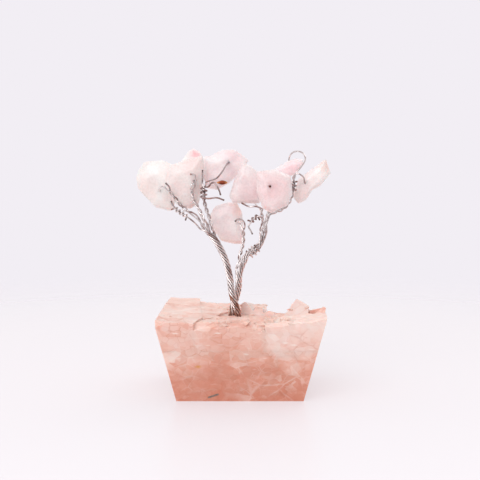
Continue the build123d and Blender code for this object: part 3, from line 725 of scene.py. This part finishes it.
# Seed of the waves, colours of body, veil and blush, and the blush's place and reach in millimetres
stone_finishes = [
    ("far_left_stone", 31, "#ECE6E5", "#F5F0EF", "#EFD8D4", (-27, 7, 56), 6),
    ("upper_left_stone", 32, "#F3E6E5", "#F9F1F0", "#EE93A1", (-12.6, 11, 66), 4),
    ("inner_left_stone", 33, "#EDE0DF", "#F4EBEA", "#EBD2D0", (-13, 1, 64), 6),
    ("top_stone", 34, "#F0E2E5", "#F7EEEF", "#EED5D9", (-2, 6, 66), 6),
    ("middle_stone", 35, "#E9DADC", "#F1E6E7", "#E7CDD0", (4, 1, 55), 6),
    ("front_right_stone", 36, "#EDD9DB", "#F3E5E6", "#EDC7CA", (9, -7, 57), 6),
    ("upper_right_stone", 37, "#F7E4E7", "#FAEEF0", "#F5D0D6", (15, 7, 62), 5),
    ("far_right_stone", 38, "#F5E4E4", "#F9F0EF", "#F4C8BB", (25, 2, 64), 5),
    ("centre_stone", 39, "#F1E4E6", "#F7EEEF", "#F4B8A5", (0.5, 6, 51), 5),
]
for node, seed, body, veil, blush, blush_spot, blush_reach in stone_finishes:
    piece = evenly_meshed(node, node + "_tumbled", stone_step)
    mesh = piece.data
    shape = bmesh.new()
    shape.from_mesh(mesh)
    for rounding in range(rounding_passes):
        bmesh.ops.smooth_vert(
            shape, verts=shape.verts, factor=0.5, use_axis_x=True, use_axis_y=True, use_axis_z=True
        )
    shape.normal_update()
    offset = Vector((seed, seed * 0.7, seed * 1.3))
    for vert in shape.verts:
        wave = noise.fractal(vert.co / wave_width + offset, *wave_octaves)
        vert.co -= vert.normal * max(-1.0, min(1.0, wave)) * wave_depth * MM
    # Rounding drew the stone in, so it is brought back to just under the size of its solid
    lowest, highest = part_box(node)
    now_low = Vector(min(vert.co[i] for vert in shape.verts) for i in range(3))
    now_high = Vector(max(vert.co[i] for vert in shape.verts) for i in range(3))
    grow = Vector(
        inner_share * (highest[i] - lowest[i]) / (now_high[i] - now_low[i]) for i in range(3)
    )
    bmesh.ops.translate(shape, vec=-(now_low + now_high) / 2, verts=shape.verts)
    bmesh.ops.scale(shape, vec=grow, verts=shape.verts)
    bmesh.ops.translate(shape, vec=(lowest + highest) / 2, verts=shape.verts)
    for face in shape.faces:
        face.smooth = True
    shape.to_mesh(mesh)
    shape.free()
    finish = f"tumbled rose quartz of {node}"
    only_material(mesh, tumbled_quartz(finish, body, veil, blush, blush_spot, blush_reach))
    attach(piece, node)
    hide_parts(node)

# Table and backdrop
# A table top of frosted white acrylic, which lets half of the pale lilac backdrop through and so shows
# only a faint shadow. Its far edge fades into the backdrop.
table_radius = 0.3
shape = bmesh.new()
bmesh.ops.create_circle(shape, cap_ends=True, segments=96, radius=table_radius)
mesh = bpy.data.meshes.new("table")
shape.to_mesh(mesh)
shape.free()
white_table, output = empty_material("frosted white acrylic")
here = add(white_table, "TexCoord", {}).outputs["Object"]
reach = add(white_table, "VectorMath", {0: here}, operation="LENGTH").outputs["Value"]
fade = add(
    white_table, "MapRange",
    {"Value": reach, "From Min": 0.11, "From Max": 0.26, "To Min": 0.5, "To Max": 1.0},
    interpolation_type="SMOOTHSTEP",
)
surface = add(
    white_table, "BsdfPrincipled",
    {"Base Color": linear("#FCF7FB"), "Roughness": 0.32, "Specular IOR Level": 0.4},
)
clear = add(white_table, "BsdfTransparent", {})
blend = add(
    white_table, "MixShader",
    {0: fade.outputs["Result"], 1: surface.outputs["BSDF"], 2: clear.outputs["BSDF"]},
)
white_table.node_tree.links.new(blend.outputs["Shader"], output.inputs["Surface"])
mesh.materials.append(white_table)
table = placed("table", mesh)

world = bpy.data.worlds.new("pale lilac studio")
world.use_nodes = True
world.node_tree.nodes.clear()
path = add(world, "LightPath", {})
backdrop = add(world, "Background", {"Color": linear("#F2EEF4"), "Strength": 1.0})
# The room is dimmer in front of the tree than behind it
way = add(world, "TexCoord", {}).outputs["Generated"]
way = add(world, "SeparateXYZ", {"Vector": way}).outputs["Y"]
dim = add(
    world, "MapRange",
    {"Value": way, "From Min": -1.0, "From Max": 0.4, "To Min": 0.4, "To Max": 0.95},
)
room = add(world, "Background", {"Color": linear("#FFFCFB"), "Strength": dim.outputs["Result"]})
mix = add(
    world, "MixShader", {0: path.outputs["Is Camera Ray"], 1: room.outputs[0], 2: backdrop.outputs[0]}
)
add(world, "OutputWorld", {"Surface": mix.outputs["Shader"]})
bpy.context.scene.world = world

# Light and camera
# A broad soft box stands above and in front of the tree, and a smaller one behind. The lens is long,
# a little higher than the tree, and looks slightly down on it.
for name, spot, aim, size, power in (
    ("front soft box", (-0.2, -0.58, 0.36), (0, 0, 0.03), 0.6, 2.95),
    ("rear soft box", (0.3, 0.5, 0.55), (0, 0, 0.04), 0.4, 0.55),
):
    lamp = bpy.data.lights.new(name, "AREA")
    lamp.size = size
    lamp.energy = power
    light = placed(name, lamp)
    light.location = spot
    light.rotation_euler = (Vector(aim) - Vector(spot)).to_track_quat("-Z", "Y").to_euler()

lens = bpy.data.cameras.new("camera")
lens.lens = 100
lens.sensor_width = 36
camera = placed("camera", lens)
camera.location = (0, -0.371, 0.081)
looked_at = Vector((0, 0, 0.042))
camera.rotation_euler = (looked_at - camera.location).to_track_quat("-Z", "Y").to_euler()
bpy.context.scene.camera = camera
bpy.context.scene.view_settings.view_transform = "Standard"
